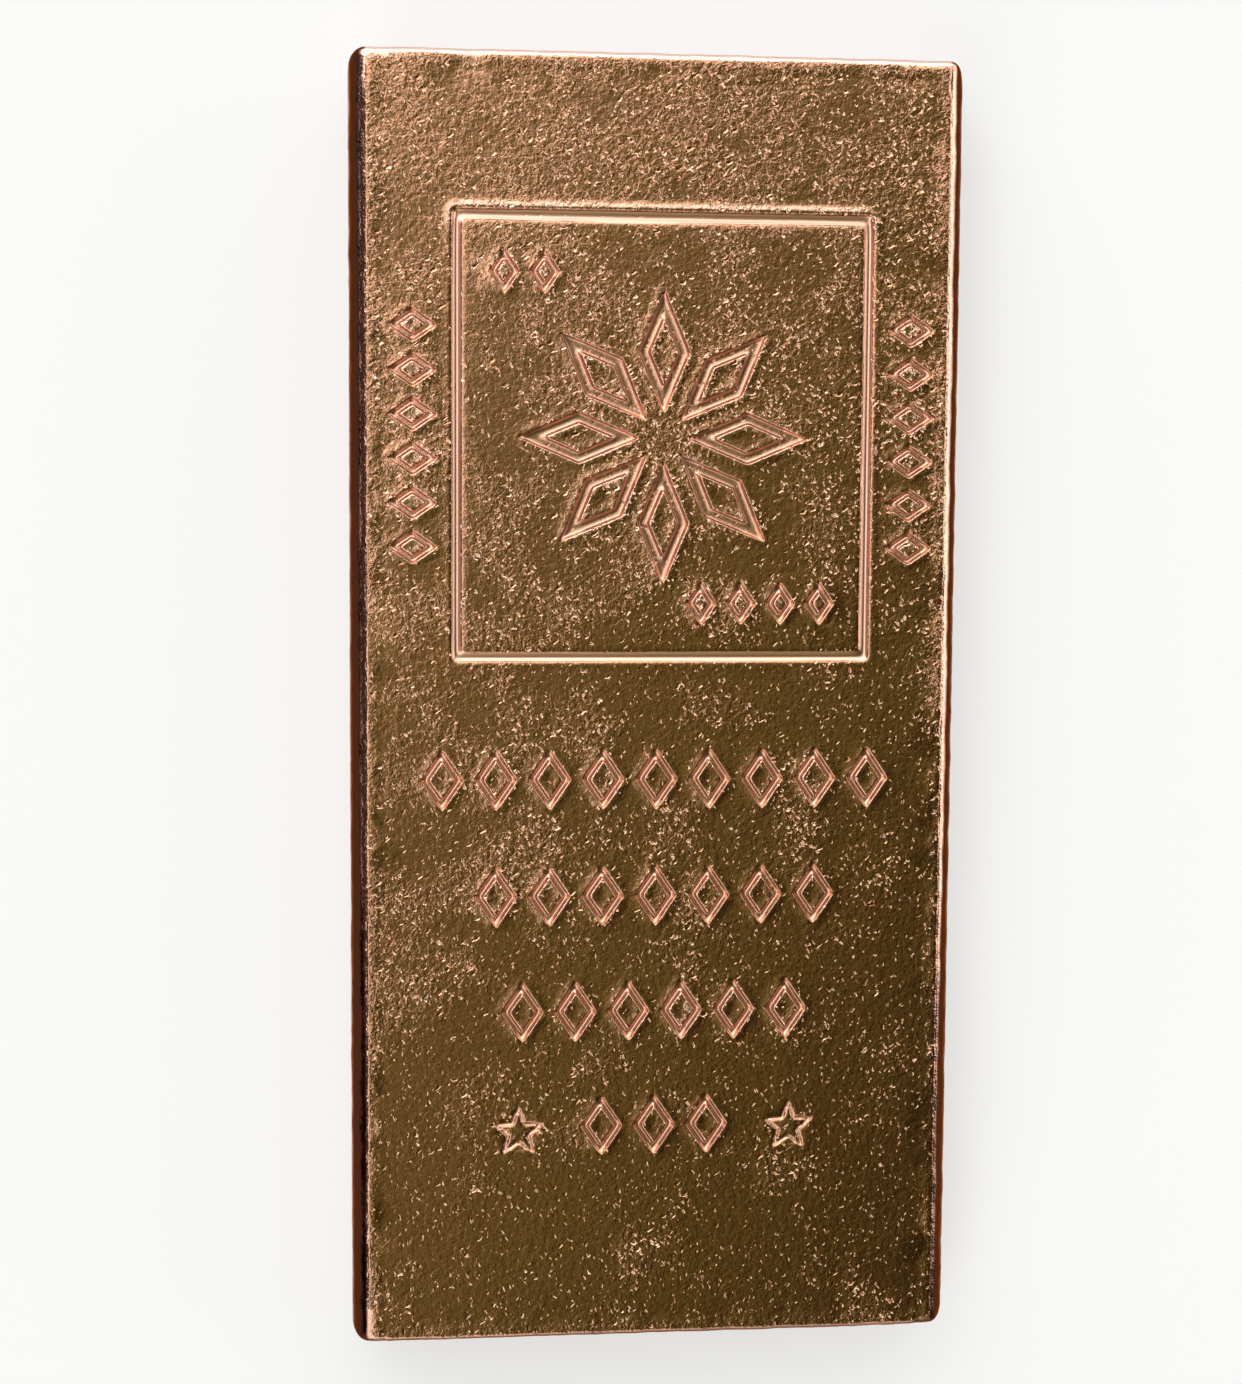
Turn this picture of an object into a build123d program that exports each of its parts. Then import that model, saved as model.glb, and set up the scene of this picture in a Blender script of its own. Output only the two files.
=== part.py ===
from build123d import *
import math
import os

# A flat copper ingot, in millimetres: a length of round-edged bar with marks struck into its upper face.
# It lies on its back on Z = 0, with its length along Y and the head of the marks towards +Y.

# Bar stock. Planishing the two broad faces left a crease, instead of a smooth run-out, where they meet the
# rounded edges: the crease angle is how far the edge already slopes away there.
bar_width = 50.8
bar_length = 107.0
bar_thickness = 9.45
long_edge_radius = 2.6
end_edge_radius = 0.9
edge_crease_angle = 28
plan_corner_radius = 1.5
corner_crease_angle = 15

# How far a trimming solid runs past what it trims
overrun = 2.0

# The strike: how deep the punches went, how far their flanks slope in, how wide a plain line is, and how far
# off centre they landed
strike_depth = 0.35
flank_run = 0.26
line_width = 0.65
strike_shift = 0.3

# Frame groove, wider along the head where the punch went in harder
frame_side_margin = 8.0
frame_head_margin = 12.7
frame_height = 36.9
frame_line = 0.75
frame_head_line = 0.95

# Star of eight lozenges in the middle of the frame, drawn with a heavier line
petal_count = 8
petal_length = 10.4
petal_width = 4.4
petal_line = 1.0
petal_start_radius = 1.8

# Short rows of small lozenges in two corners of the frame
small_lozenge_width = 2.6
small_lozenge_height = 3.8
small_lozenge_pitch = 3.3
corner_margin = 2.2
head_corner_count = 2
foot_corner_count = 4

# Columns of lozenges up both sides of the frame
column_count = 6
column_gap = 3.2
column_pitch = 3.6
column_lozenge_width = 4.2
column_lozenge_height = 2.9

# Rows of lozenges below the frame, narrowing towards the foot and struck a little to one side of it. A bar
# that is too short for all of them keeps the last ones.
row_margins = [5.6, 10.0, 12.2, 19.0]
row_pitch = 9.78
row_foot_margin = 17.5
row_shift = -0.4
row_lozenge_width = 3.6
row_lozenge_height = 5.3
row_lozenge_pitch = 4.45

# Stars at both ends of the last row, a little below its middle
star_gap = 5.2
star_drop = 0.4
star_radius = 2.5
star_point_count = 5
star_waist_share = 0.42

# Places worked out from the sizes above
frame_width = bar_width - 2 * frame_side_margin
frame_head = bar_length / 2 - frame_head_margin
frame_middle = frame_head - frame_height / 2
frame_foot = frame_head - frame_height
row_room = frame_foot + bar_length / 2 - row_foot_margin
rows = row_margins[-math.floor(row_room / row_pitch):]
flank_angle = math.degrees(math.atan(flank_run / strike_depth))


def crease_rise(radius, angle):
    """How far past a flat the rounding has to reach so that it is cut off at the crease angle."""
    return radius * (1 - math.cos(math.radians(angle)))


def lozenge(width, height, mode=Mode.ADD):
    """Draws a four-cornered diamond at each place that is open in the sketch."""
    half_width = width / 2
    half_height = height / 2
    corners = [(half_width, 0), (0, half_height), (-half_width, 0), (0, -half_height)]
    Polygon(*corners, mode=mode)


def lozenge_line(width, height, line=line_width):
    """Draws a diamond as a line of even width, with a diamond of untouched land left inside it."""
    land_share = 1 - 2 * line * math.hypot(width, height) / (width * height)
    lozenge(width, height)
    lozenge(width * land_share, height * land_share, mode=Mode.SUBTRACT)


def five_point_star():
    """Draws a star with one point up at each place that is open in the sketch."""
    corners = []
    for step in range(2 * star_point_count):
        reach = star_radius if step % 2 == 0 else star_radius * star_waist_share
        angle = math.pi / 2 + step * math.pi / star_point_count
        corners.append((reach * math.cos(angle), reach * math.sin(angle)))
    Polygon(*corners, align=None)


def row_count(margin):
    """How many lozenges fit across the bar between two margins."""
    room = bar_width - 2 * margin - row_lozenge_width
    return 1 + math.floor(room / row_lozenge_pitch)


with BuildPart() as ingot:
    # The round-edged section, drawn out along the bar
    section_rise = crease_rise(long_edge_radius, edge_crease_angle)
    with BuildSketch(Plane.XZ):
        with Locations((0, bar_thickness / 2)):
            RectangleRounded(bar_width, bar_thickness + 2 * section_rise, long_edge_radius)
            Rectangle(bar_width + overrun, bar_thickness, mode=Mode.INTERSECT)
    extrude(amount=bar_length / 2 + overrun, both=True)

    # The two cut ends, eased over their edges
    end_rise = crease_rise(end_edge_radius, edge_crease_angle)
    with BuildSketch(Plane.YZ):
        with Locations((0, bar_thickness / 2)):
            RectangleRounded(bar_length, bar_thickness + 2 * end_rise, end_edge_radius)
    extrude(amount=bar_width / 2 + overrun, both=True, mode=Mode.INTERSECT)

    # The four upright corners, rounded in plan
    plan_rise = crease_rise(plan_corner_radius, corner_crease_angle)
    with BuildSketch(Plane.XY.offset(bar_thickness / 2)):
        RectangleRounded(bar_width + 2 * plan_rise, bar_length + 2 * plan_rise, plan_corner_radius)
    extrude(amount=bar_thickness / 2 + overrun, both=True, mode=Mode.INTERSECT)

    # The struck marks
    with BuildSketch(Plane((strike_shift, 0, bar_thickness))):
        # Frame groove
        with Locations((0, frame_middle)):
            Rectangle(frame_width, frame_height)
        with Locations((0, frame_middle + (frame_line - frame_head_line) / 2)):
            Rectangle(
                frame_width - 2 * frame_line,
                frame_height - frame_line - frame_head_line,
                mode=Mode.SUBTRACT,
            )

        # Star of eight lozenges
        with Locations((0, frame_middle)):
            with PolarLocations(petal_start_radius + petal_length / 2, petal_count):
                lozenge_line(petal_length, petal_width, petal_line)

        # Corner rows, one from the frame's head corner and one from its foot corner
        corner_x = frame_width / 2 - frame_line - corner_margin - small_lozenge_width / 2
        head_row_y = frame_head - frame_head_line - corner_margin - small_lozenge_height / 2
        foot_row_y = frame_foot + frame_line + corner_margin + small_lozenge_height / 2
        for step in range(head_corner_count):
            with Locations((-corner_x + step * small_lozenge_pitch, head_row_y)):
                lozenge_line(small_lozenge_width, small_lozenge_height)
        for step in range(foot_corner_count):
            with Locations((corner_x - step * small_lozenge_pitch, foot_row_y)):
                lozenge_line(small_lozenge_width, small_lozenge_height)

        # Side columns
        with Locations((0, frame_middle)):
            with GridLocations(frame_width + 2 * column_gap, column_pitch, 2, column_count):
                lozenge_line(column_lozenge_width, column_lozenge_height)

        # Rows below the frame
        for row, margin in enumerate(rows, start=1):
            with Locations((row_shift, frame_foot - row * row_pitch)):
                with GridLocations(row_lozenge_pitch, row_pitch, row_count(margin), 1):
                    lozenge_line(row_lozenge_width, row_lozenge_height)

        # Stars beside the last row
        last_row_width = (row_count(rows[-1]) - 1) * row_lozenge_pitch + row_lozenge_width
        with Locations((row_shift, frame_foot - len(rows) * row_pitch - star_drop)):
            with GridLocations(last_row_width + 2 * star_gap, row_pitch, 2, 1):
                five_point_star()
    extrude(amount=-strike_depth, taper=flank_angle, mode=Mode.SUBTRACT)

ingot.part.label = "ingot"
os.makedirs("parts", exist_ok=True)
export_step(ingot.part, "parts/ingot.step")
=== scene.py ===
"""A struck copper ingot: its dressed bar, its copper finish and a plain stage, as a Blender add-on."""

import math

import bpy
import numpy as np
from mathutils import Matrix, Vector


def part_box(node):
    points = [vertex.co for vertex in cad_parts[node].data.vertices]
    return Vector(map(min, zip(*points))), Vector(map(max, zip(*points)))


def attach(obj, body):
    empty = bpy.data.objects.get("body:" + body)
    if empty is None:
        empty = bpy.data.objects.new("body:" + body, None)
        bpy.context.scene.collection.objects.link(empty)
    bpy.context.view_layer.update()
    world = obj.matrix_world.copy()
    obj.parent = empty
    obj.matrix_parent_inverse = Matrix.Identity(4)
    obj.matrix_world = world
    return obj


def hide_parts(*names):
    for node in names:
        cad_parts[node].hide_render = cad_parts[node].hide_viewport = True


bl_info = {
    "name": "Struck Copper Ingot",
    "version": (1, 0, 0),
    "blender": (4, 5, 0),
    "location": "View3D > Sidebar > Ingot",
    "description": "Dresses a struck copper bar and sets a plain stage around it",
    "category": "Object",
}

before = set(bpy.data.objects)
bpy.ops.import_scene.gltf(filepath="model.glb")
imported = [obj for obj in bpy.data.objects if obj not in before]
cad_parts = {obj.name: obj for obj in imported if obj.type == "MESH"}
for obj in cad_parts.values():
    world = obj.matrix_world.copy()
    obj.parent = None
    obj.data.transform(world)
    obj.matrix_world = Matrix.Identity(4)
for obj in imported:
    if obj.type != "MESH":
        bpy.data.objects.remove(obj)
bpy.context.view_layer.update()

MM = 0.001
NODE = "ingot"
BAR_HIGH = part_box(NODE)[1]
FACE_Z = BAR_HIGH.z

# Widths of the strips along the rounded edges, at the upright corners and where the edges are rubbed most
EDGE_MARGIN = 2 * MM
CORNER_MARGIN = 3 * MM
RUBBED_SIDE = 2.8 * MM
RUBBED_HEAD = 1.5 * MM
RUBBED_DEPTH = 3 * MM

# Depths under the face: a point below the brink is in a struck line, and no line goes deeper than the reach
LINE_BRINK = 0.1 * MM
LINE_REACH = 0.6 * MM

# The frame: its head line, its middle, how far from there its lines lie, and the strips beside them
FRAME_HEAD = BAR_HIGH.y - 12.7 * MM
FRAME_MIDDLE = Vector((0.3 * MM, FRAME_HEAD - 18.45 * MM))
FRAME_REACH = Vector((BAR_HIGH.x - 8.4 * MM, 18.05 * MM))
FRAME_STRIP = 1 * MM
FRAME_INNER_STRIP = 2.4 * MM
HEAD_LINE_STRIP = 1.2 * MM

# The two stars, and the land that stands inside each star's line
STAR_PLACES = (Vector((-11.55 * MM, -35.62 * MM, FACE_Z)), Vector((11.35 * MM, -35.62 * MM, FACE_Z)))
STAR_POINTS = 5
STAR_WAIST = 0.42
STAR_LAND_DEPTH = 0.45 * MM
STAR_LAND_RISE = 0.05 * MM
STAR_LAND_FLANK = 0.25 * MM

# Height of the lips beside common lines, as a share of those along the frame's head
LIP_SHARE = 0.3

# How hard each smoothing pass pulls, over the whole bar and over the places that are worn further
SOFT_PULL = 0.5
WORN_PULL = 0.8

# Layers of nicks: their turn, length, width and rarity
NICK_LAYERS = (
    (0.5, 0.80 * MM, 0.36 * MM, 0.93),
    (-0.8, 0.65 * MM, 0.28 * MM, 0.92),
    (1.9, 0.55 * MM, 0.26 * MM, 0.90),
    (1.2, 0.40 * MM, 0.22 * MM, 0.88),
)

# The stage: the floor's width and how far it lies under the bar, and the lamp
FLOOR_WIDTH = 6.0
FLOOR_DROP = 0.05 * MM
LAMP_PLACE = (-0.3, 0.53, 0.6)
LAMP_WIDTH = 0.25
LAMP_POWER = 0.6


class IngotShape(bpy.types.PropertyGroup):
    """Sizes of the bar's dressed surface."""

    grain: bpy.props.FloatProperty(
        name="Grain",
        description="Cell size that the bar is remeshed with before its edges are softened",
        default=0.115 * MM,
        unit="LENGTH",
        precision=5,
    )
    softening: bpy.props.IntProperty(
        name="Softening",
        description="Passes of smoothing over the lips of the struck lines and the creases of the edges",
        default=4,
    )
    frame_softening: bpy.props.IntProperty(
        name="Frame softening",
        description="Further passes over the frame's lines",
        default=25,
    )
    corner_softening: bpy.props.IntProperty(
        name="Corner softening",
        description="Further passes over the four corners",
        default=38,
    )
    edge_softening: bpy.props.IntProperty(
        name="Edge softening",
        description="Further passes over the face's right edge and head edge",
        default=22,
    )
    foot_softening: bpy.props.IntProperty(
        name="Foot softening",
        description="Further passes over the two corners at the foot",
        default=38,
    )
    star_land: bpy.props.FloatProperty(
        name="Star land",
        description="Radius of the untouched land inside each star's line",
        default=1.65 * MM,
        unit="LENGTH",
        precision=5,
    )
    lip_height: bpy.props.FloatProperty(
        name="Lip height",
        description="Height of the metal pushed up by the frame's head line, before it is spread out",
        default=0.85 * MM,
        unit="LENGTH",
        precision=5,
    )
    lip_spread: bpy.props.IntProperty(
        name="Lip spread",
        description="Passes that spread the lips out from the struck lines",
        default=60,
    )
    sway_size: bpy.props.FloatProperty(
        name="Sway size",
        description="Width of the gentle unevenness left by planishing",
        default=11 * MM,
        unit="LENGTH",
    )
    sway_height: bpy.props.FloatProperty(
        name="Sway height",
        description="Height of that unevenness",
        default=0.05 * MM,
        unit="LENGTH",
        precision=5,
    )
    waver_size: bpy.props.FloatProperty(
        name="Waver size",
        description="Length of the small waves along the edges",
        default=2.2 * MM,
        unit="LENGTH",
    )
    waver_height: bpy.props.FloatProperty(
        name="Waver height",
        description="Height of those waves",
        default=0.15 * MM,
        unit="LENGTH",
        precision=5,
    )
    triangles: bpy.props.IntProperty(
        name="Triangles",
        description="About how many triangles the finished bar keeps",
        default=190000,
    )


class IngotFinish(bpy.types.PropertyGroup):
    """Colours and texture of the copper."""

    toned_copper: bpy.props.FloatVectorProperty(
        name="Toned copper",
        description="Colour of the flat land, handled and toned brown",
        default=(0.54, 0.285, 0.17),
        subtype="COLOR",
    )
    hollow_shade_copper: bpy.props.FloatVectorProperty(
        name="Hollow shade copper",
        # Colour of the land in the hollows of its grain, darkened as painted shade
        description="Colour of the land in the hollows of its grain",
        default=(0.36, 0.18, 0.085),
        subtype="COLOR",
    )
    bare_copper: bpy.props.FloatVectorProperty(
        name="Bare copper",
        description="Colour of fresh copper in the struck lines and along the edges",
        default=(0.80, 0.47, 0.35),
        subtype="COLOR",
    )
    glint_copper: bpy.props.FloatVectorProperty(
        name="Glint copper",
        # Colour of the pits, lightened as a painted glint
        description="Colour of the rubbed rims of the pits",
        default=(0.86, 0.58, 0.42),
        subtype="COLOR",
    )
    side_copper: bpy.props.FloatVectorProperty(
        name="Side copper",
        description="Colour of the sides and ends, a little tarnished",
        default=(0.48, 0.215, 0.135),
        subtype="COLOR",
    )
    painted_reflection_copper: bpy.props.FloatVectorProperty(
        name="Painted reflection copper",
        # Colour of the face's rounded edges: a painted dark reflection in deep red brown
        description="Colour of the face's rounded edges, tarnished a deep red brown",
        default=(0.068, 0.024, 0.014),
        subtype="COLOR",
    )
    polished_copper: bpy.props.FloatVectorProperty(
        name="Polished copper",
        description="Colour of the rubbed edges of the two ends",
        default=(0.95, 0.74, 0.62),
        subtype="COLOR",
    )
    land_roughness: bpy.props.FloatProperty(
        name="Land roughness",
        description="Roughness of the flat land",
        default=0.22,
        subtype="FACTOR",
    )
    line_roughness: bpy.props.FloatProperty(
        name="Line roughness",
        description="Roughness inside the struck lines",
        default=0.34,
        subtype="FACTOR",
    )
    edge_roughness: bpy.props.FloatProperty(
        name="Edge roughness",
        description="Roughness of the smooth edges",
        default=0.16,
        subtype="FACTOR",
    )


class IngotStage(bpy.types.PropertyGroup):
    """Floor, light and camera."""

    floor_color: bpy.props.FloatVectorProperty(
        name="Floor",
        description="Colour of the floor",
        default=(0.84, 0.84, 0.84),
        subtype="COLOR",
    )
    floor_glow: bpy.props.FloatProperty(
        name="Floor glow",
        description="Share of the floor's look that stays white under any light",
        default=0.6,
        subtype="FACTOR",
    )
    ceiling_color: bpy.props.FloatVectorProperty(
        name="Ceiling",
        description="Colour of the dim room overhead",
        default=(0.20, 0.203, 0.048),
        subtype="COLOR",
    )
    near_color: bpy.props.FloatVectorProperty(
        name="Near side",
        description="Colour of the dim room towards the viewer",
        default=(0.035, 0.027, 0.007),
        subtype="COLOR",
    )
    left_color: bpy.props.FloatVectorProperty(
        name="Left side",
        description="Colour of the dark room low on the left",
        default=(0.045, 0.022, 0.02),
        subtype="COLOR",
    )
    wall_level: bpy.props.FloatProperty(
        name="Wall level",
        description="Brightness of the pale walls",
        default=2.15,
    )
    window_level: bpy.props.FloatProperty(
        name="Window level",
        description="Brightness of the far wall, where the daylight comes in",
        default=3.0,
    )
    camera_place: bpy.props.FloatVectorProperty(
        name="Camera place",
        description="Where the camera stands",
        default=(-25.06 * MM, 18.83 * MM, 206.33 * MM),
        subtype="TRANSLATION",
        unit="LENGTH",
    )
    camera_turn: bpy.props.FloatVectorProperty(
        name="Camera turn",
        description="How the camera is turned from looking straight down",
        default=(math.radians(-5.07), math.radians(-6.336), math.radians(0.355)),
        subtype="EULER",
    )
    camera_lens: bpy.props.FloatProperty(
        name="Lens",
        description="Focal length in millimetres",
        default=62.43,
    )


class Channel:
    """One output of a finish's nodes, with the arithmetic that a surface needs."""

    def __init__(self, finish, socket):
        self.finish = finish
        self.socket = socket

    def combine(self, operation, other, swapped=False):
        pair = {0: other, 1: self} if swapped else {0: self, 1: other}
        return self.finish.add("ShaderNodeMath", {"operation": operation}, pair)

    def __add__(self, other):
        return self.combine("ADD", other)

    __radd__ = __add__

    def __sub__(self, other):
        return self.combine("SUBTRACT", other)

    def __rsub__(self, other):
        return self.combine("SUBTRACT", other, swapped=True)

    def __mul__(self, other):
        return self.combine("MULTIPLY", other)

    __rmul__ = __mul__

    def size(self):
        """The value without its sign."""
        return self.finish.add("ShaderNodeMath", {"operation": "ABSOLUTE"}, {0: self})


class Finish:
    """The node tree of a material or of the world, filled one node at a time."""

    def __init__(self, owner):
        owner.use_nodes = True
        self.tree = owner.node_tree
        self.tree.nodes.clear()

    def add(self, kind, settings=None, sockets=None, output=0):
        """Makes a node, sets its settings, then fills its sockets, and returns one of its outputs."""
        node = self.tree.nodes.new(kind)
        for name, value in (settings or {}).items():
            setattr(node, name, value)
        for name, value in (sockets or {}).items():
            if isinstance(value, Channel):
                self.tree.links.new(value.socket, node.inputs[name])
            else:
                node.inputs[name].default_value = value
        return Channel(self, node.outputs[output]) if node.outputs else None

    def place(self):
        """Object coordinates, in metres."""
        return self.add("ShaderNodeTexCoord", output="Object")

    def split(self, vector):
        """A vector's three lengths."""
        return [self.add("ShaderNodeSeparateXYZ", None, {"Vector": vector}, output=axis) for axis in "XYZ"]

    def along(self, vector, direction):
        """How far a vector points along a direction."""
        return self.add(
            "ShaderNodeVectorMath",
            {"operation": "DOT_PRODUCT"},
            {0: vector, 1: Vector(direction).normalized()},
            output="Value",
        )

    def ease(self, value, start, end):
        """0 below start and 1 above end, with a soft step between."""
        return self.add(
            "ShaderNodeMapRange",
            {"interpolation_type": "SMOOTHSTEP"},
            {"Value": value, "From Min": start, "From Max": end},
        )

    def noise(self, place, size, detail=2.0, roughness=0.5, distortion=0.0):
        """A cloudy pattern whose blotches are about size across."""
        return self.add(
            "ShaderNodeTexNoise",
            {"noise_dimensions": "3D"},
            {
                "Vector": place,
                "Scale": 1 / size,
                "Detail": detail,
                "Roughness": roughness,
                "Distortion": distortion,
            },
        )

    def mix_color(self, share, first, second):
        """first where share is 0 and second where it is 1."""
        return self.add(
            "ShaderNodeMix",
            {"data_type": "RGBA"},
            {0: share, 6: first, 7: second},
            output=2,
        )


def opaque(color):
    """A colour socket's four numbers."""
    return (*color, 1.0)


def nicks(finish, place, turn, length, width, rarity):
    """Short dents of one direction: depth from 0 to 1 in a few cells of a stretched pattern."""
    laid = finish.add(
        "ShaderNodeMapping",
        {"vector_type": "TEXTURE"},
        {"Vector": place, "Rotation": (0, 0, turn), "Scale": (length, width, width)},
    )
    cell = {"voronoi_dimensions": "2D", "feature": "F1"}
    distance = finish.add("ShaderNodeTexVoronoi", cell, {"Vector": laid, "Scale": 1.0}, output="Distance")
    tint = finish.add("ShaderNodeTexVoronoi", cell, {"Vector": laid, "Scale": 1.0}, output="Color")
    chance = finish.add("ShaderNodeSeparateColor", None, {"Color": tint}, output="Red")
    reach = finish.ease(chance, rarity, 1.0) * 0.45
    return finish.ease(reach - distance, 0.0, 0.35)


def copper_finish(look):
    """Toned, pitted land with bare copper in the struck lines and round the edges, painted shade in the
    grain's hollows, a painted glint in the pits and a painted dark reflection on the face's rounded edges.
    """
    material = bpy.data.materials.new("struck_copper")
    finish = Finish(material)
    place = finish.place()
    across, along, height = finish.split(place)

    # Where a point lies: on the land or the back, on the edges, or down in a struck line
    land = finish.ease(height, FACE_Z - LINE_BRINK, FACE_Z - 0.03 * MM)
    back = 1 - finish.ease(height, 0.04 * MM, 0.12 * MM)
    side_edge = finish.ease(across.size(), BAR_HIGH.x - 1.5 * MM, BAR_HIGH.x - 1.25 * MM)
    end_edge = finish.ease(along.size(), BAR_HIGH.y - 0.6 * MM, BAR_HIGH.y - 0.4 * MM)
    inside = (1 - side_edge) * (1 - end_edge)
    upper = finish.ease(height, FACE_Z - LINE_REACH, FACE_Z - 0.5 * MM)
    floor = inside * upper * (1 - finish.ease(height, FACE_Z - 0.33 * MM, FACE_Z - 0.26 * MM))
    flat = inside * (land + back)

    # Tarnished sides, and the face's rounded edges painted deep red brown as a dark reflection; this mask
    # reaches further up towards the face near the foot
    footward = finish.ease(0 - along, 5 * MM, 32 * MM)
    low_side = 1 - finish.ease(height - footward * (0.2 * MM), FACE_Z - 0.45 * MM, FACE_Z - 0.22 * MM)
    low_end = 1 - finish.ease(height - footward * (0.95 * MM), FACE_Z - 1.3 * MM, FACE_Z - 0.7 * MM)
    tarnish_and_painted_reflection = low_side * side_edge + low_end * end_edge * (1 - side_edge)

    # Grain, and nicks that crowd together in patches and towards the head
    crowd = finish.ease(finish.noise(place, 7 * MM, detail=4, roughness=0.6) + along * 1.7, 0.42, 0.62)
    leather = finish.noise(place, 0.42 * MM, detail=3, roughness=0.55, distortion=0.3)
    stir = finish.add(
        "ShaderNodeTexNoise",
        None,
        {"Vector": place, "Scale": 1 / (0.6 * MM), "Detail": 1.0},
        output="Color",
    )
    stir = finish.add("ShaderNodeVectorMath", {"operation": "SUBTRACT"}, {0: stir, 1: (0.5, 0.5, 0.5)})
    stir = finish.add("ShaderNodeVectorMath", {"operation": "SCALE"}, {0: stir, "Scale": 0.5 * MM})
    stirred = finish.add("ShaderNodeVectorMath", {"operation": "ADD"}, {0: place, 1: stir})
    dents = None
    for turn, length, width, rarity in NICK_LAYERS:
        layer = nicks(finish, stirred, turn, length, width, rarity - crowd * 0.18)
        dents = layer if dents is None else dents + layer
    grain = leather * (0.045 + crowd * 0.045) - dents * (0.03 + crowd * 0.045)

    # Rougher strips beside the edges
    near_side = finish.ease(across.size(), BAR_HIGH.x - 2.8 * MM, BAR_HIGH.x - 1.6 * MM)
    near_end = finish.ease(along.size(), BAR_HIGH.y - 1.8 * MM, BAR_HIGH.y - 0.8 * MM)
    worn = near_side + near_end
    side_crease = near_side * (1 - finish.ease(across.size(), BAR_HIGH.x - 1.1 * MM, BAR_HIGH.x - 0.6 * MM))
    end_crease = near_end * (1 - finish.ease(along.size(), BAR_HIGH.y - 0.4 * MM, BAR_HIGH.y - 0.2 * MM))
    specks = finish.noise(place, 0.2 * MM, detail=2)
    rough_sides = (side_crease + end_crease) * specks * 0.03 + (1 - inside) * leather * 0.03
    relief = (flat + floor * 0.5) * grain * (1 + worn * 0.8) + rough_sides
    bump = finish.add("ShaderNodeBump", None, {"Strength": 1.0, "Distance": MM, "Height": relief})

    # Colour: toned land with painted shade in its grain's hollows and a painted glint in its pits, bare
    # lines and lips, polished ends, tarnished sides, and the face's rounded edges painted deep red brown as
    # a dark reflection
    pitted = finish.ease(dents, 0.15, 0.7) * finish.ease(finish.noise(place, 0.9 * MM), 0.38, 0.62)
    raised = finish.ease(height, FACE_Z + 0.03 * MM, FACE_Z + 0.09 * MM)
    toned = flat * (1 - raised * 0.8) + floor * 0.7
    # Painted shade: the land darkens where its grain's relief is low
    hollow_shade = (1 - finish.ease(leather * 0.5 + specks * 0.5, 0.36, 0.60)) * 0.65
    land_color = finish.mix_color(hollow_shade, opaque(look.toned_copper), opaque(look.hollow_shade_copper))
    color = finish.mix_color(toned, opaque(look.bare_copper), land_color)
    # Painted glint: the pits turn a lighter copper, in patches
    color = finish.mix_color(pitted * flat * 0.7, color, opaque(look.glint_copper))
    # Painted dark reflection: deep red brown over the face's rounded edges, strongest near the face, with
    # the painted shade of the grain's hollows mixed in lower down
    painted_reflection = finish.ease(height + leather * MM, FACE_Z - 3.2 * MM, FACE_Z - 0.6 * MM)
    painted_reflection = painted_reflection + (1 - painted_reflection) * hollow_shade * 0.6
    side_color = finish.mix_color(painted_reflection, opaque(look.side_copper), opaque(look.painted_reflection_copper))
    polished = end_edge * (1 - side_edge) * (1 - footward)
    color = finish.mix_color(polished, color, opaque(look.polished_copper))
    color = finish.mix_color(tarnish_and_painted_reflection, color, side_color)

    # Gloss
    struck = inside * (1 - land) * (1 - back)
    roughness = (
        look.edge_roughness
        + flat * (look.land_roughness - look.edge_roughness)
        + struck * (look.line_roughness - look.edge_roughness)
    )
    surface = finish.add(
        "ShaderNodeBsdfPrincipled",
        None,
        {
            "Base Color": color,
            "Metallic": 1.0,
            "Roughness": roughness,
            "Specular Tint": (0.8, 0.5, 0.42, 1.0),
            "Normal": bump,
        },
    )
    finish.add("ShaderNodeOutputMaterial", None, {"Surface": surface})
    return material


def floor_finish(stage):
    """Plain pale floor that stays near white and keeps the soft shadow."""
    material = bpy.data.materials.new("pale_floor")
    finish = Finish(material)
    matte = finish.add(
        "ShaderNodeBsdfPrincipled",
        None,
        {"Base Color": opaque(stage.floor_color), "Roughness": 0.9, "Specular IOR Level": 0.1},
    )
    glow = finish.add("ShaderNodeEmission", None, {"Color": (1, 1, 1, 1), "Strength": 0.97})
    ray = [
        finish.add("ShaderNodeLightPath", output=name)
        for name in ("Is Camera Ray", "Is Glossy Ray", "Is Transmission Ray")
    ]
    surface = finish.add(
        "ShaderNodeMixShader",
        None,
        {0: (ray[0] + ray[1] + ray[2]) * stage.floor_glow, 1: matte, 2: glow},
    )
    finish.add("ShaderNodeOutputMaterial", None, {"Surface": surface})
    return material


def room_light(stage):
    """A pale room, dim overhead and near the viewer, dark low on the left and bright low on the right."""
    world = bpy.data.worlds.new("studio_room")
    sky = Finish(world)
    toward = sky.add("ShaderNodeTexCoord", output="Generated")
    toward = sky.add("ShaderNodeVectorMath", {"operation": "NORMALIZE"}, {0: toward})
    upward = sky.along(toward, (0.7, -0.4, 0.75))
    overhead = sky.ease(upward, 0.39, 0.665)
    left = sky.ease(sky.along(toward, (-1, -0.1, 0.25)), 0.72, 0.92)
    right = sky.ease(sky.along(toward, (1, 0.15, 0.12)), 0.88, 0.97)
    near = sky.ease(upward, 0.80, 0.885)
    far = sky.ease(sky.along(toward, (-0.3, 1, 0.2)), 0.70, 0.93)
    pale = (1 - overhead) * (1 - left) + overhead * right * 1.7
    dim = sky.mix_color(near, opaque(stage.ceiling_color), opaque(stage.near_color))
    dim = sky.mix_color(left, dim, opaque(stage.left_color))
    wall = sky.mix_color(far, opaque([stage.wall_level] * 3), opaque([stage.window_level] * 3))
    color = sky.mix_color(pale, dim, wall)
    background = sky.add("ShaderNodeBackground", None, {"Color": color, "Strength": 1.0})
    sky.add("ShaderNodeOutputWorld", None, {"Surface": background})
    return world


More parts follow.
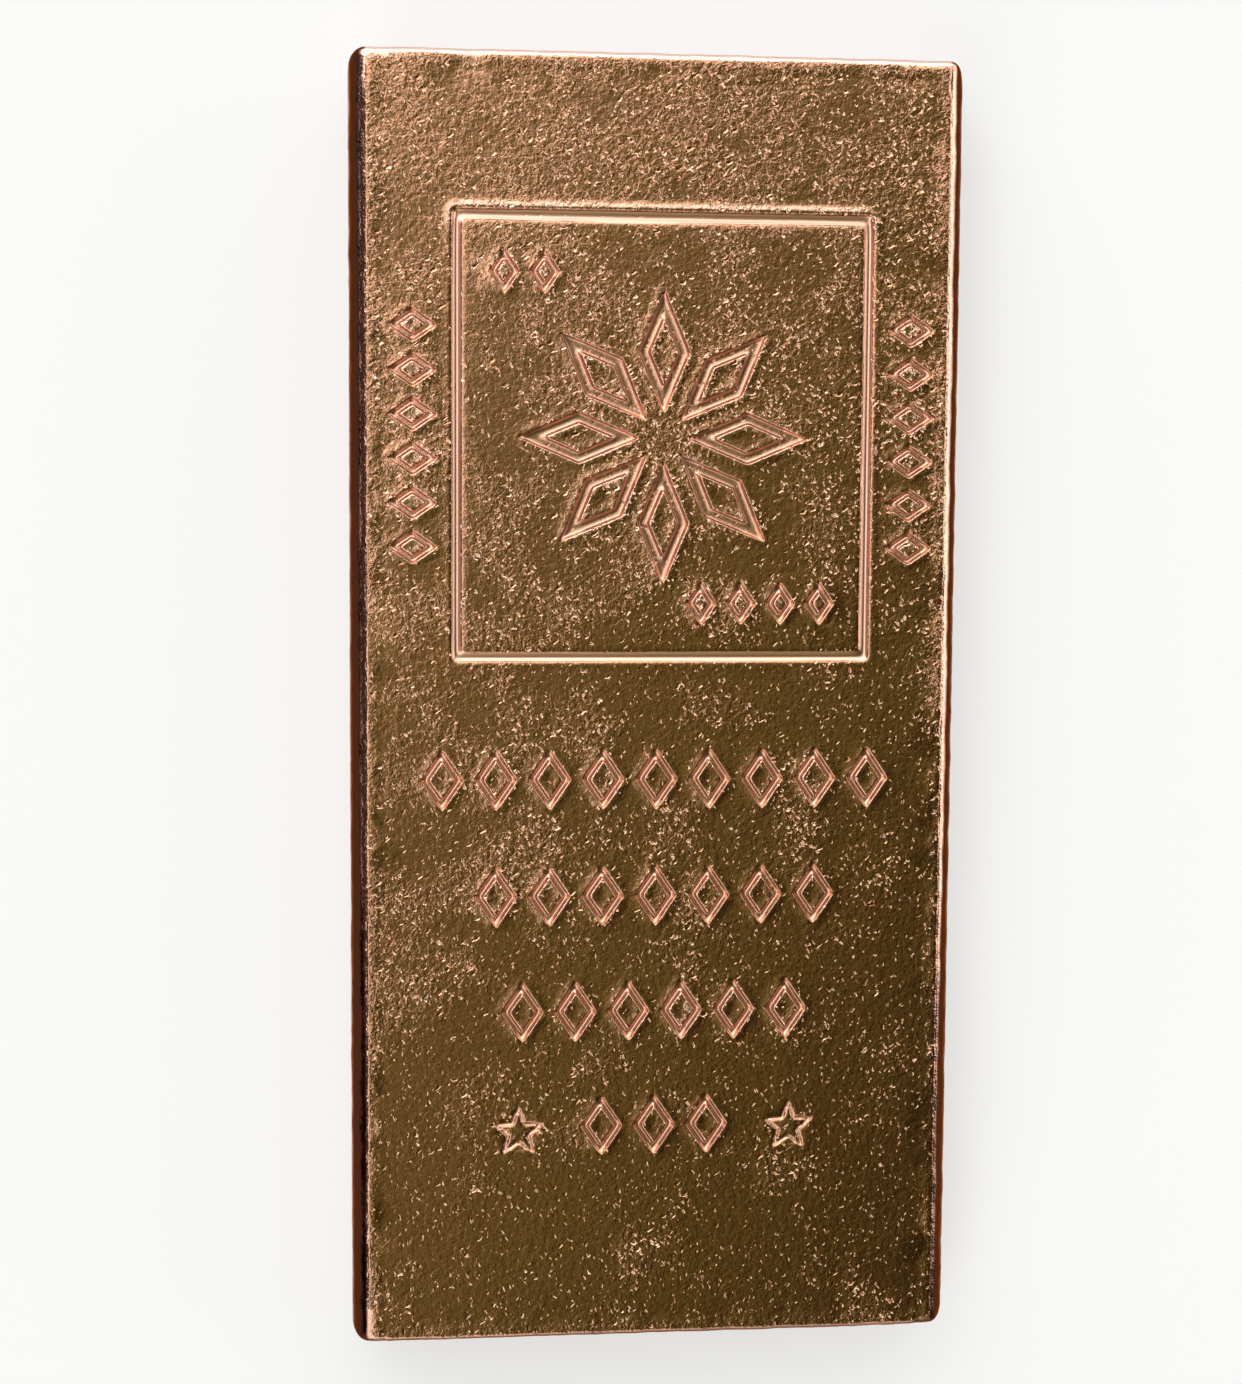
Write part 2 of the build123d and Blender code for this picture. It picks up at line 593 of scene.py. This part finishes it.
def shape_with(piece, kind, settings):
    """Adds one modifier to the active piece and applies it."""
    modifier = piece.modifiers.new(kind.title(), kind)
    for name, value in settings.items():
        setattr(modifier, name, value)
    bpy.ops.object.modifier_apply(modifier=modifier.name)


def points_where(piece, test):
    """The numbers of a piece's points whose places pass a test."""
    places = np.empty(3 * len(piece.data.vertices), dtype=np.float32)
    piece.data.vertices.foreach_get("co", places)
    x, y, z = places.reshape(-1, 3).T
    return np.flatnonzero(test(x, y, z)).tolist()


def within_edges(x, y):
    """Whether a place is inside the rounded edges, seen from above."""
    return (abs(x) < BAR_HIGH.x - EDGE_MARGIN) & (abs(y) < BAR_HIGH.y - EDGE_MARGIN)


def on_face(x, y, z):
    """Whether a place is on the struck face or in its lines."""
    return (z > FACE_Z - LINE_REACH) & within_edges(x, y)


def in_line(x, y, z):
    """Whether a place is down in a struck line."""
    return on_face(x, y, z) & (z < FACE_Z - LINE_BRINK)


def past_frame(x, y):
    """How far a place is outside the middle of the frame's lines, or below zero inside it."""
    return np.maximum(abs(x - FRAME_MIDDLE.x) - FRAME_REACH.x, abs(y - FRAME_MIDDLE.y) - FRAME_REACH.y)


def by_frame(x, y, z):
    """Whether a place is in or just beside the frame's lines."""
    return on_face(x, y, z) & (abs(past_frame(x, y)) < FRAME_STRIP)


def inside_frame(x, y, z):
    """Whether a place is on the face just inside the frame's lines."""
    past = past_frame(x, y)
    return on_face(x, y, z) & (past > -FRAME_INNER_STRIP) & (past < 0)


def in_head_line(x, y, z):
    """Whether a place is down in the frame's head line."""
    return in_line(x, y, z) & (y > FRAME_HEAD - HEAD_LINE_STRIP)


def in_star(place, radius):
    """A test for places within a radius of a star's middle, seen from above."""
    return lambda x, y, z: np.hypot(x - place.x, y - place.y) < radius


def at_corner(x, y, z):
    """Whether a place is by one of the four upright corners."""
    return (abs(x) > BAR_HIGH.x - CORNER_MARGIN) & (abs(y) > BAR_HIGH.y - CORNER_MARGIN)


def at_foot_corner(x, y, z):
    """Whether a place is by one of the two corners at the foot."""
    return at_corner(x, y, z) & (y < 0)


def on_worn_edge(x, y, z):
    """Whether a place is on the face's right edge or head edge, which are rubbed more than the others."""
    rubbed = (x > BAR_HIGH.x - RUBBED_SIDE) | (y > BAR_HIGH.y - RUBBED_HEAD)
    return rubbed & (z > FACE_Z - RUBBED_DEPTH)


def cloud_texture(name, size, octaves):
    """A cloudy texture for moving a surface in and out."""
    texture = bpy.data.textures.new(name, "CLOUDS")
    texture.noise_scale = size
    texture.noise_depth = octaves
    return texture


class INGOT_OT_bar(bpy.types.Operator):
    """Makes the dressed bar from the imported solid, with softened lips and a worked surface"""

    bl_idname = "ingot.bar"
    bl_label = "Dress the bar"

    def execute(self, context):
        shape = context.scene.ingot_shape
        bpy.ops.object.select_all(action="DESELECT")
        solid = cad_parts[NODE]
        bar = bpy.data.objects.new("ingot_bar", solid.data.copy())
        context.scene.collection.objects.link(bar)
        bar.select_set(True)
        context.view_layer.objects.active = bar

        bpy.ops.object.mode_set(mode="EDIT")
        bpy.ops.mesh.select_all(action="SELECT")
        bpy.ops.mesh.remove_doubles(threshold=0.001 * MM)
        bpy.ops.object.mode_set(mode="OBJECT")
        for place in STAR_PLACES:
            self.add_star_land(context, bar, place, shape.star_land)

        shape_with(bar, "REMESH", {"mode": "VOXEL", "voxel_size": shape.grain})
        shape_with(bar, "SMOOTH", {"factor": SOFT_PULL, "iterations": shape.softening})
        self.raise_lips(bar, shape)
        self.soften(bar, "lines", by_frame, shape.frame_softening)
        self.soften(bar, "corners", at_corner, shape.corner_softening)
        self.soften(bar, "foot_corners", at_foot_corner, shape.foot_softening)
        self.soften(bar, "worn_edges", on_worn_edge, shape.edge_softening)
        self.waver_edges(bar, shape)
        shape_with(
            bar,
            "DISPLACE",
            {
                "texture": cloud_texture("sway", shape.sway_size, 2),
                "texture_coords": "LOCAL",
                "strength": shape.sway_height,
                "mid_level": 0.5,
            },
        )
        shape_with(bar, "DECIMATE", {"ratio": shape.triangles / (2 * len(bar.data.polygons))})
        bpy.ops.object.shade_smooth()

        bar.data.materials.clear()
        bar.data.materials.append(copper_finish(context.scene.ingot_finish))
        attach(bar, "root")
        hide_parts(NODE)
        return {"FINISHED"}

    def add_star_land(self, context, bar, place, radius):
        """Stands land inside a star, so that the star is a line. Smoothing brings it level with the face."""
        middle = place + Vector((0, 0, STAR_LAND_RISE - STAR_LAND_DEPTH / 2))
        bpy.ops.object.select_all(action="DESELECT")
        bpy.ops.mesh.primitive_cone_add(
            vertices=2 * STAR_POINTS,
            radius1=radius + STAR_LAND_FLANK,
            radius2=radius,
            depth=STAR_LAND_DEPTH,
            location=middle,
        )
        land = context.active_object
        bpy.ops.object.mode_set(mode="EDIT")
        bpy.ops.mesh.select_mode(type="VERT")
        bpy.ops.mesh.select_all(action="DESELECT")
        bpy.ops.object.mode_set(mode="OBJECT")
        for point in land.data.vertices:
            step = round(math.atan2(point.co.x, point.co.y) * STAR_POINTS / math.pi)
            point.select = step % 2 == 1
        bpy.ops.object.mode_set(mode="EDIT")
        bpy.ops.transform.resize(value=(STAR_WAIST, STAR_WAIST, 1), center_override=place)
        bpy.ops.object.mode_set(mode="OBJECT")
        bar.select_set(True)
        context.view_layer.objects.active = bar
        bpy.ops.object.join()

    def soften(self, bar, name, test, passes):
        """Smooths the points whose places pass a test."""
        group = bar.vertex_groups.new(name=name)
        group.add(points_where(bar, test), 1.0, "REPLACE")
        shape_with(bar, "SMOOTH", {"factor": WORN_PULL, "iterations": passes, "vertex_group": group.name})
        bar.vertex_groups.clear()

    def raise_lips(self, bar, shape):
        """Lifts the land beside the struck lines, most at their brink and most along the frame's head."""
        struck = points_where(bar, in_line)
        lip = bar.vertex_groups.new(name="lip")
        lip.add(struck, LIP_SHARE, "REPLACE")
        lip.add(points_where(bar, in_head_line), 1.0, "REPLACE")
        bpy.ops.object.mode_set(mode="WEIGHT_PAINT")
        bpy.ops.object.vertex_group_smooth(
            group_select_mode="ACTIVE", factor=SOFT_PULL, repeat=shape.lip_spread
        )
        bpy.ops.object.mode_set(mode="OBJECT")
        lip.remove(struck)
        lip.remove(points_where(bar, inside_frame))
        for place in STAR_PLACES:
            lip.remove(points_where(bar, in_star(place, shape.star_land)))
        shape_with(
            bar,
            "DISPLACE",
            {"direction": "Z", "strength": shape.lip_height, "mid_level": 0.0, "vertex_group": lip.name},
        )
        bar.vertex_groups.clear()

    def waver_edges(self, bar, shape):
        """Lets the creases of the edges waver a little."""
        outer = points_where(bar, lambda x, y, z: ~within_edges(x, y))
        edge = bar.vertex_groups.new(name="edge")
        edge.add(outer, 1.0, "REPLACE")
        shape_with(
            bar,
            "DISPLACE",
            {
                "texture": cloud_texture("waver", shape.waver_size, 4),
                "texture_coords": "LOCAL",
                "strength": shape.waver_height,
                "mid_level": 0.5,
                "vertex_group": edge.name,
            },
        )
        bar.vertex_groups.clear()


class INGOT_OT_stage(bpy.types.Operator):
    """Sets the floor, the soft light and the camera"""

    bl_idname = "ingot.stage"
    bl_label = "Set the stage"

    def execute(self, context):
        stage = context.scene.ingot_stage
        bpy.ops.object.select_all(action="DESELECT")
        bpy.ops.mesh.primitive_plane_add(size=FLOOR_WIDTH, location=(0, 0, -FLOOR_DROP))
        floor = context.active_object
        floor.name = "floor"
        floor.data.materials.append(floor_finish(stage))

        context.scene.world = room_light(stage)
        self.add_lamp(context)

        bpy.ops.object.camera_add(location=stage.camera_place, rotation=stage.camera_turn)
        camera = context.active_object
        camera.data.lens = stage.camera_lens
        camera.data.clip_start = 0.01
        context.scene.camera = camera
        context.scene.view_settings.view_transform = "Standard"
        return {"FINISHED"}

    def add_lamp(self, context):
        """A soft square of light that faces the bar."""
        bpy.ops.object.light_add(type="AREA", location=LAMP_PLACE)
        lamp = context.active_object
        lamp.name = "key"
        lamp.data.shape = "SQUARE"
        lamp.data.size = LAMP_WIDTH
        lamp.data.energy = LAMP_POWER
        aim = -lamp.location
        lamp.rotation_euler = aim.to_track_quat("-Z", "Y").to_euler()


class VIEW3D_PT_ingot(bpy.types.Panel):
    """Lists the steps and their sizes"""

    bl_label = "Ingot"
    bl_space_type = "VIEW_3D"
    bl_region_type = "UI"
    bl_category = "Ingot"

    def draw(self, context):
        scene = context.scene
        for operator, group in (
            (INGOT_OT_bar, scene.ingot_shape),
            (INGOT_OT_bar, scene.ingot_finish),
            (INGOT_OT_stage, scene.ingot_stage),
        ):
            box = self.layout.box()
            for name in group.__annotations__:
                box.prop(group, name)
            box.operator(operator.bl_idname)


CLASSES = (IngotShape, IngotFinish, IngotStage, INGOT_OT_bar, INGOT_OT_stage, VIEW3D_PT_ingot)


def register():
    for item in CLASSES:
        bpy.utils.register_class(item)
    bpy.types.Scene.ingot_shape = bpy.props.PointerProperty(type=IngotShape)
    bpy.types.Scene.ingot_finish = bpy.props.PointerProperty(type=IngotFinish)
    bpy.types.Scene.ingot_stage = bpy.props.PointerProperty(type=IngotStage)


def unregister():
    del bpy.types.Scene.ingot_stage
    del bpy.types.Scene.ingot_finish
    del bpy.types.Scene.ingot_shape
    for item in reversed(CLASSES):
        bpy.utils.unregister_class(item)


def main():
    register()
    bpy.ops.ingot.bar()
    bpy.ops.ingot.stage()


if __name__ == "__main__":
    main()
